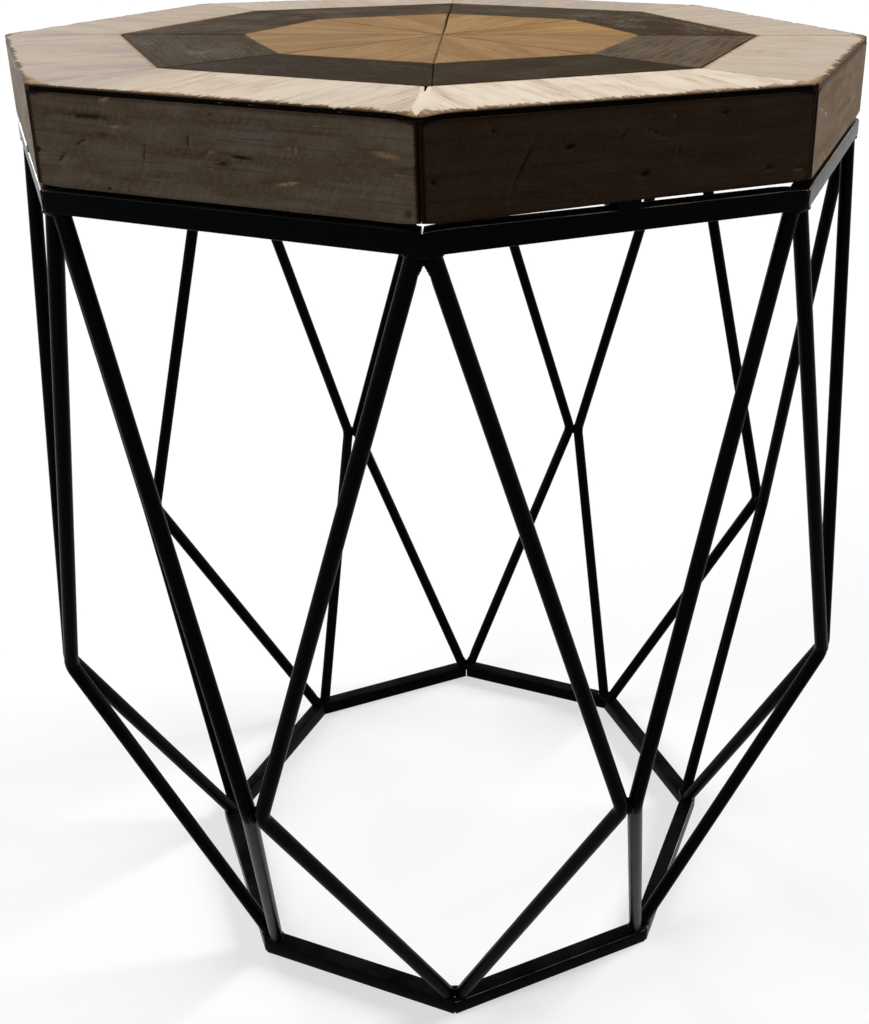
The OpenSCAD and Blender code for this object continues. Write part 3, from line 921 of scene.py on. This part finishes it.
for side in sides:
    loops, mark = apron_board(side)
    skin(f"edge_board_{side}", [loops], apron_stain, "apron_wood",
         f"apron_board_{side}", mark=[mark])
print("apron boards, each of", loops.shape[0] * loops.shape[1], "points")

# %% [markdown]
# Both rings are square bar, cut to mitres. Rolled bar has softly rounded arrises, which
# catch thin lines of light along the rings, and a painted highlight along the outer arrises
# adds to them. The section is a square with small round corners, carried along the side to
# within half the weld gap of each mitre, and the corners are eased where they were ground
# after welding. The welds pulled the upper ring a little out of flat, so its upper face rises
# by up to a millimetre at some corners.

# %% Rings of square bar
BAR_ROUND = 0.9 * MM
MITRE_GAP = 0.8 * MM
GROUND = 1.6 * MM
# How strongly each side's outer arrises are rubbed and painted as a highlight.
RUBBED_AND_HIGHLIGHT = {LEFT_FRONT: 0.4, RIGHT_FRONT: 0.9, FAR_RIGHT: 0.9}


def bar_section(inner, outer, foot, head):
    """Outs and ups of a square section with rounded corners."""
    turn = np.radians(np.arange(0, 91, 22.5))
    outs, ups = [], []
    for i, (o, u) in enumerate(((outer, head), (inner, head), (inner, foot), (outer, foot))):
        centre_o = o - math.copysign(BAR_ROUND, o - (inner + outer) / 2)
        centre_u = u - math.copysign(BAR_ROUND, u - (foot + head) / 2)
        outs += list(centre_o + BAR_ROUND * np.cos(turn + i * math.pi / 2))
        ups += list(centre_u + BAR_ROUND * np.sin(turn + i * math.pi / 2))
    return np.array(outs), np.array(ups)


def ring_bar(side, inner, outer, foot, head, lifted):
    """Loops of one bar, and its mark, which is high along the outer arrises, rubbed and painted as
    a highlight.
    """
    outs, ups = bar_section(inner, outer, foot, head)
    rubbed = np.zeros(len(outs))
    rubbed[1:4] = RUBBED_AND_HIGHLIGHT.get(side, 0.5) * np.array([0.4, 1, 0.6])
    rubbed[16:19] = 0.4 * rubbed[1:4]
    reach_along = outer * FLARE
    share = close_at_ends(reach_along, np.array([0, 0.3, 0.7, 1.2, 2.0, 4]) * MM, 24)
    out, up = outs[None] + 0 * share, ups[None] + 0 * share
    from_end = reach_along * (1 - np.abs(share))
    eased = np.clip(GROUND - from_end, 0, None) ** 2 / (2 * GROUND)
    spots = place(side, out * FLARE * share, out, up)
    uneven = 0.05 * MM * wave(spots, 40, side)
    out = out - eased * (outs[None] > (inner + outer) / 2)
    out = out + uneven * (outs[None] < inner + BAR_ROUND)
    lift = lifted * (warp(side, share) - 0.7 * MM * by_the_corner(share, outer, 7 * MM))
    up = up + lift * (ups[None] > (foot + head) / 2)
    loops = between_mitres(side, share, out, up, MITRE_GAP / 2 / math.cos(HALF))
    return loops, rubbed[None] + 0 * out


RINGS = (("upper_bar", "ring_bar", (ring_in, ring_flat, ring_z, ring_top_z, 1)),
         ("lower_bar", "base_bar", (base_in, base_flat, 0.0, base_top_z, 0)))
for side in sides:
    for name, node, sizes in RINGS:
        loops, rubbed = ring_bar(side, *sizes)
        skin(f"{name}_{side}", [loops], black_paint, "black_metal",
             f"{node}_{side}", mark=[rubbed], sharp=60)
print("two rings of", SIDES, "bars")

# %% [markdown]
# Each rod was bent once, cold, to a small radius. It leaves a corner of the upper ring, leans
# out to meet its neighbour's bend halfway along the side, and comes back to the corner of the
# base ring. Its centreline is two straights and an arc. The straights would meet at a waist
# point, which is set so far off the side's middle line that the bends just touch.

# %% Centreline of a rod
ROD_R, BEND_R = 4 * MM, 12 * MM
WAIST_OUT, WAIST_UP = 247 * MM, 206 * MM
TWIN_GROUND, BEND_CLEAR = 0.6 * MM, 0.2 * MM
ABOVE, IN_BEND, BELOW = 24, 8, 18


def at_corner(corner, side_step, out, up):
    """A point near a corner's own line: side_step to the right of it, seen from outside."""
    turn = (corner - 1) * STEP
    return np.array((out * math.sin(turn) + side_step * math.cos(turn),
                     -out * math.cos(turn) + side_step * math.sin(turn), up))


def unit(v):
    return v / np.linalg.norm(v)


def bend_of(waist, head, foot):
    """Centre of the arc that eases the turn at waist, the ways up and down, and its angle."""
    up, down_way = unit(head - waist), unit(foot - waist)
    turn = math.pi - math.acos(float(up @ down_way))
    return waist + unit(up + down_way) * BEND_R / math.cos(turn / 2), up, down_way, turn


def rod_ends(corner, way):
    """Where a rod meets the upper ring and the base ring. way is 1 to the right, -1 left."""
    step = ROD_R - TWIN_GROUND
    return [at_corner(corner, way * step, (flat - bar / 2) / math.cos(HALF) - step * FLARE, up)
            for flat, up in ((ring_flat, ring_z), (base_flat, base_top_z))]


def waist_of(corner, way):
    """The point where a rod's straights would meet."""
    head, foot = rod_ends(corner, way)
    near = at_corner(corner + way / 2, -way * ROD_R, WAIST_OUT, WAIST_UP)
    across = at_corner(corner + way / 2, -way, 0, 0)
    centre, up, down_way, _ = bend_of(near, head, foot)
    flat = unit(np.cross(up, down_way))
    stand_off = centre @ across - BEND_R * np.linalg.norm(across - flat * (across @ flat))
    return near + across * (ROD_R + BEND_CLEAR - stand_off)


def rod_line(corner, way):
    """Points of the centreline, the direction at each, and the normal of the rod's plane."""
    head, foot = rod_ends(corner, way)
    waist = waist_of(corner, way)
    centre, up, down_way, turn = bend_of(waist, head, foot)
    flat = unit(np.cross(down_way, up))
    tangent = BEND_R * math.tan(turn / 2)
    bend_start, bend_end = waist + up * tangent, waist + down_way * tangent
    upper = [head + (bend_start - head) * t for t in np.linspace(0, 1, ABOVE)]
    spoke = bend_start - centre
    turned = [centre + spoke * math.cos(a) + np.cross(flat, spoke) * math.sin(a)
              for a in np.linspace(0, turn, IN_BEND + 2)[1:-1]]
    lower = [bend_end + (foot - bend_end) * t for t in np.linspace(0, 1, BELOW)]
    ways = ([-up] * ABOVE + [np.cross(flat, p - centre) / BEND_R for p in turned]
            + [down_way] * BELOW)
    return np.array(upper + turned + lower), np.array(ways), flat


line, ways, _ = rod_line(1, 1)
if ways[ABOVE + 2] @ ways[0] < 0:
    raise ValueError("the bend turns the wrong way")
box_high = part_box("right_rod_1")[1]
print("rod's bend reaches x", round(line[:, 0].max() + ROD_R, 4),
      "and the frame's", round(box_high.x, 4))

# %% [markdown]
# The section of a rod is a circle that isn't quite true: the bar is a little uneven, and in
# the bend it's squeezed flat by the bending tool. At its ends it's cut level, to sit flush on
# the rings, and beside its twin it's ground flat.

# %% Bent rods
ROUND = 24


def rod(corner, way):
    line, ways, flat = rod_line(corner, way)
    turn = np.linspace(0, 2 * math.pi, ROUND, endpoint=False)
    across = np.cross(ways, flat)
    bent = np.zeros(len(line))
    bent[ABOVE:ABOVE + IN_BEND] = np.sin(np.linspace(0, math.pi, IN_BEND))
    ring = line[:, None] + ROD_R * (
        np.cos(turn)[None, :, None] * across[:, None] * (1 - 0.035 * bent)[:, None, None]
        + np.sin(turn)[None, :, None] * flat[None, None] * (1 + 0.01 * bent)[:, None, None])
    outward = (ring - line[:, None]) / ROD_R
    uneven = 0.05 * MM * wave(ring, (90, 90, 30), corner + way) - 0.03 * MM
    ring = ring + outward * uneven[..., None]
    for end, height in ((0, ring_z), (-1, base_top_z)):
        slide = (height - ring[end, :, 2]) / ways[end][2]
        ring[end] += slide[:, None] * ways[end]
    side_way = at_corner(corner, way, 0, 0)
    over = np.clip(-(ring @ side_way), 0, None)
    return ring + over[..., None] * side_way


for corner in sides:
    for hand, way in (("right", 1), ("left", -1)):
        skin(f"{hand}_bent_rod_{corner}", [rod(corner, way)], black_paint, "black_metal",
             f"{hand}_rod_{corner}", sharp=50)
print("rods of", ROUND, "facets round")

# %% [markdown]
# The welds are what shows that the cage was made by hand. A weld is a string of small
# puddles, so its bead is a circle carried along the joint, whose radius swells and shrinks
# every millimetre and a half. There's a bead round each pair of rod ends, a web in the fork
# between them, a short bead on both faces of the groove between two bends, and a bead up the
# outer corner of each mitre.

# %% Weld beads
PUDDLE = 1.5 * MM


def bead(path, radius, closed=False, seed=0.0, facing=(0.0, 0.0, 1.0)):
    """Loops of a rippled bead along a path of points, which doesn't run along facing."""
    path = np.array(path)
    steps = np.linalg.norm(np.diff(path, axis=0), axis=1)
    run = np.concatenate(([0], np.cumsum(steps)))
    count = max(6, int(run[-1] / (0.45 * MM)))
    at = np.linspace(0, run[-1], count, endpoint=not closed)
    centre = np.stack([np.interp(at, run, path[:, i]) for i in range(3)], axis=-1)
    if closed:
        tangent = np.roll(centre, -1, axis=0) - np.roll(centre, 1, axis=0)
    else:
        tangent = np.gradient(centre, axis=0)
    tangent /= np.linalg.norm(tangent, axis=1)[:, None]
    first = np.cross(tangent, facing)
    first /= np.linalg.norm(first, axis=1)[:, None]
    second = np.cross(tangent, first)
    ripple = 1 + 0.13 * np.abs(np.sin(at * math.pi / PUDDLE + seed)) - 0.06
    if not closed:
        ripple *= np.sqrt(np.clip(1 - (2 * at / run[-1] - 1) ** 2, 0.03, 1)) ** 0.7
    turn = np.linspace(0, 2 * math.pi, 12, endpoint=False)
    loop = (np.cos(turn)[None, :, None] * first[:, None]
            + np.sin(turn)[None, :, None] * second[:, None])
    lump = 1 + 0.12 * wave(centre[:, None] + loop * radius, 700, seed)
    return centre[:, None] + loop * (radius * ripple)[:, None, None] * lump[..., None]


def round_the_ends(corner, out, up):
    """A closed path round the two rods of a corner, at a ring's face."""
    step, radius = ROD_R - TWIN_GROUND, ROD_R + 0.2 * MM
    path = [at_corner(corner, way * (step + radius * math.cos(a)),
                      out + way * radius * math.sin(a), up)
            for way in (1, -1) for a in np.radians(np.arange(-90, 91, 15))]
    return path + [path[0]]


def groove_path(corner, face):
    """A short path in the groove between two bends, on the outer or the inner face."""
    head, foot = rod_ends(corner, 1)
    centre, up, down_way, _ = bend_of(waist_of(corner, 1), head, foot)
    flat = unit(np.cross(up, down_way))
    across = at_corner(corner + 0.5, -1, 0, 0)
    pull = unit(across - flat * (across @ flat))
    nearest = centre - pull * BEND_R
    along = unit(np.cross(flat, pull))
    groove = np.cross(across, along)
    groove *= face * np.sign(groove @ at_corner(corner + 0.5, 0, 1, 0))
    middle = nearest - across * (ROD_R + BEND_CLEAR / 2) + groove * 2.3 * MM
    return [middle + along * t for t in np.linspace(-3.4, 3.4, 9) * MM]


def fork_path(corner, end, start, length):
    """A path along both rods' inner sides. The upper fork is end 0, and the lower one end 1."""
    legs = []
    for way in (1, -1):
        root = rod_ends(corner, way)[end]
        lean = unit(waist_of(corner, way) - root)
        inward = at_corner(corner, -way, 0, 0)
        legs.append([root + lean * t + inward * 2.6 * MM for t in np.linspace(start, length, 7)])
    return legs[0][::-1] + legs[1]


def mitre_path(corner, flat, low, high):
    """A path up the outer corner of a ring."""
    out = flat / math.cos(HALF) - 1.7 * MM
    return [at_corner(corner, 0, out, z) for z in np.linspace(low + 0.6 * MM, high - 0.6 * MM, 8)]


closed_beads, open_beads = [], []
for corner in sides:
    head, foot = rod_ends(corner, 1)
    for end, up, seed in ((head, ring_z - 0.3 * MM, 0), (foot, base_top_z + 0.3 * MM, 20)):
        path = round_the_ends(corner, math.hypot(end[0], end[1]), up)
        closed_beads.append(bead(path, 1.05 * MM, True, corner + seed))
    outward, beside = at_corner(corner, 0, 1, 0), at_corner(corner + 0.5, 0, 1, 0)
    for path, radius, seed, facing in (
            (fork_path(corner, 0, 3.4 * MM, 11.0 * MM), 2.2 * MM, 3, outward),
            (fork_path(corner, 1, 1.2 * MM, 8.0 * MM), 2.0 * MM, 5, outward),
            (groove_path(corner, 1), 1.9 * MM, 7, beside),
            (groove_path(corner, -1), 1.9 * MM, 11, beside),
            (mitre_path(corner, ring_flat, ring_z, ring_top_z), 1.5 * MM, 13, outward),
            (mitre_path(corner, base_flat, 0.0, base_top_z), 1.5 * MM, 17, outward)):
        open_beads.append(bead(path, radius, seed=corner + seed, facing=facing))
skin("welds_round_ends", closed_beads, black_paint, "black_metal", "weld_beads",
     rings=True, sharp=70)
skin("welds_in_joints", open_beads, black_paint, "black_metal", "weld_beads", sharp=70)
print(len(closed_beads) + len(open_beads), "weld beads")

# %% [markdown]
# The panel, the tabs and the screws keep the solids of the construction, whose shapes are
# right. They get their finishes, and the tabs and the panel get softened edges from a
# bevel, after their doubled points are joined.

# %% Finishes for the solids that stay
KEPT = {"core_panel": ("panel_wood", ply), "mounting_tabs": ("black_metal", black_paint),
        "wood_screws": ("screw_steel", zinc)}
for name, (slot, finish) in KEPT.items():
    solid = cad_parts[name]
    solid.data.materials.clear()
    solid.data.materials.append(finish)
for name, width in (("mounting_tabs", 0.5 * MM), ("core_panel", 0.8 * MM)):
    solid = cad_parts[name]
    joined = solid.modifiers.new("join doubled points", "WELD")
    joined.merge_threshold = 0.01 * MM
    soft = solid.modifiers.new("soft edges", "BEVEL")
    soft.width, soft.segments, soft.limit_method = width, 2, "ANGLE"
print("kept", ", ".join(KEPT))

# %% [markdown]
# The stage is a plain pale floor and a white surround. The floor is white only to the camera
# and in reflections, where part of the white doesn't depend on the lamps, so that the table's
# shadow stays but is faint. To other rays it's grey, so that it doesn't throw light up at the
# table's sides, which are dark in the photograph. From below it's clear, so that the underside
# of the table can be looked at too.

# %% Floor
FLOOR_R, FLOOR_DROP = 14.0, 0.05 * MM
OWN_WHITE = 0.55


def floor_finish():
    b = Board(bpy.data.materials.new("pale_floor"))
    x, y, _ = b.position()
    paint = b.blend(b.grain(x * 3, y * 3, 0.0, 3), (250, 250, 250), (248, 248, 248))
    white = b.node("ShaderNodeBsdfDiffuse", None, {"Color": paint})["BSDF"]
    glow = b.node("ShaderNodeEmission", None,
                  {"Color": colour(255, 255, 255), "Strength": 1.0})["Emission"]
    grey = b.node("ShaderNodeBsdfDiffuse", None, {"Color": colour(64, 62, 60)})["BSDF"]
    clear = b.node("ShaderNodeBsdfTransparent")["BSDF"]
    from_below = b.node("ShaderNodeNewGeometry")["Backfacing"]

    def mixed(share, low, high):
        return b.node("ShaderNodeMixShader", None, {0: share, 1: low, 2: high})["Shader"]

    above = mixed(seen_directly(b), grey, mixed(OWN_WHITE, white, glow))
    b.node("ShaderNodeOutputMaterial", None, {"Surface": mixed(from_below, above, clear)})
    return b.owner


def seen_directly(board):
    """1 for rays from the camera and for reflected or refracted ones, 0 for the rest."""
    path = board.node("ShaderNodeLightPath")
    seen = path["Is Camera Ray"] + path["Is Glossy Ray"] + path["Is Transmission Ray"]
    return seen.math("MINIMUM", seen, 1.0)


turn = np.linspace(0, 2 * math.pi, 96, endpoint=False)
rim = np.stack((FLOOR_R * np.cos(turn), FLOOR_R * np.sin(turn), 0 * turn - FLOOR_DROP), axis=-1)
floor_mesh = bpy.data.meshes.new("floor")
floor_mesh.from_pydata(rim.tolist(), [], [list(range(len(rim)))])
floor_mesh.materials.append(floor_finish())
floor = put("floor", floor_mesh)

# %% [markdown]
# The light is soft and plain: a broad key from behind on the right, a weaker one from the
# left, and a low one from far behind on the left, which draws the thin highlights along the
# left sides of the rods. Wide sun lamps were chosen, because they light the floor evenly
# however far it goes, and their width keeps the shadows soft.

# %% Light
def lamp(name, azimuth, elevation, strength, width):
    """A wide sun. Azimuth is counted from the front towards the right."""
    a, e = math.radians(azimuth), math.radians(elevation)
    toward = Vector((math.sin(a) * math.cos(e), -math.cos(a) * math.cos(e), math.sin(e)))
    data = bpy.data.lights.new(name, "SUN")
    data.energy = strength * math.pi
    data.angle = math.radians(width)
    sun = put(name, data)
    sun.rotation_mode = "QUATERNION"
    sun.rotation_quaternion = toward.to_track_quat("Z", "Y")


lamp("key", 115, 25, 1.35, 24)
lamp("fill", -78, 34, 0.55, 40)
lamp("rim", -146, 8, 1.1, 24)

surround = Board(bpy.data.worlds.new("surround"))
bpy.context.scene.world = surround.owner
AMBIENT = 0.05
seen = seen_directly(surround)
strength = seen * (1 - AMBIENT) + AMBIENT
background = surround.node("ShaderNodeBackground", None,
                           {"Color": colour(255, 255, 255), "Strength": strength})["Background"]
surround.node("ShaderNodeOutputWorld", None, {"Surface": background})
bpy.context.scene.view_settings.view_transform = "Standard"
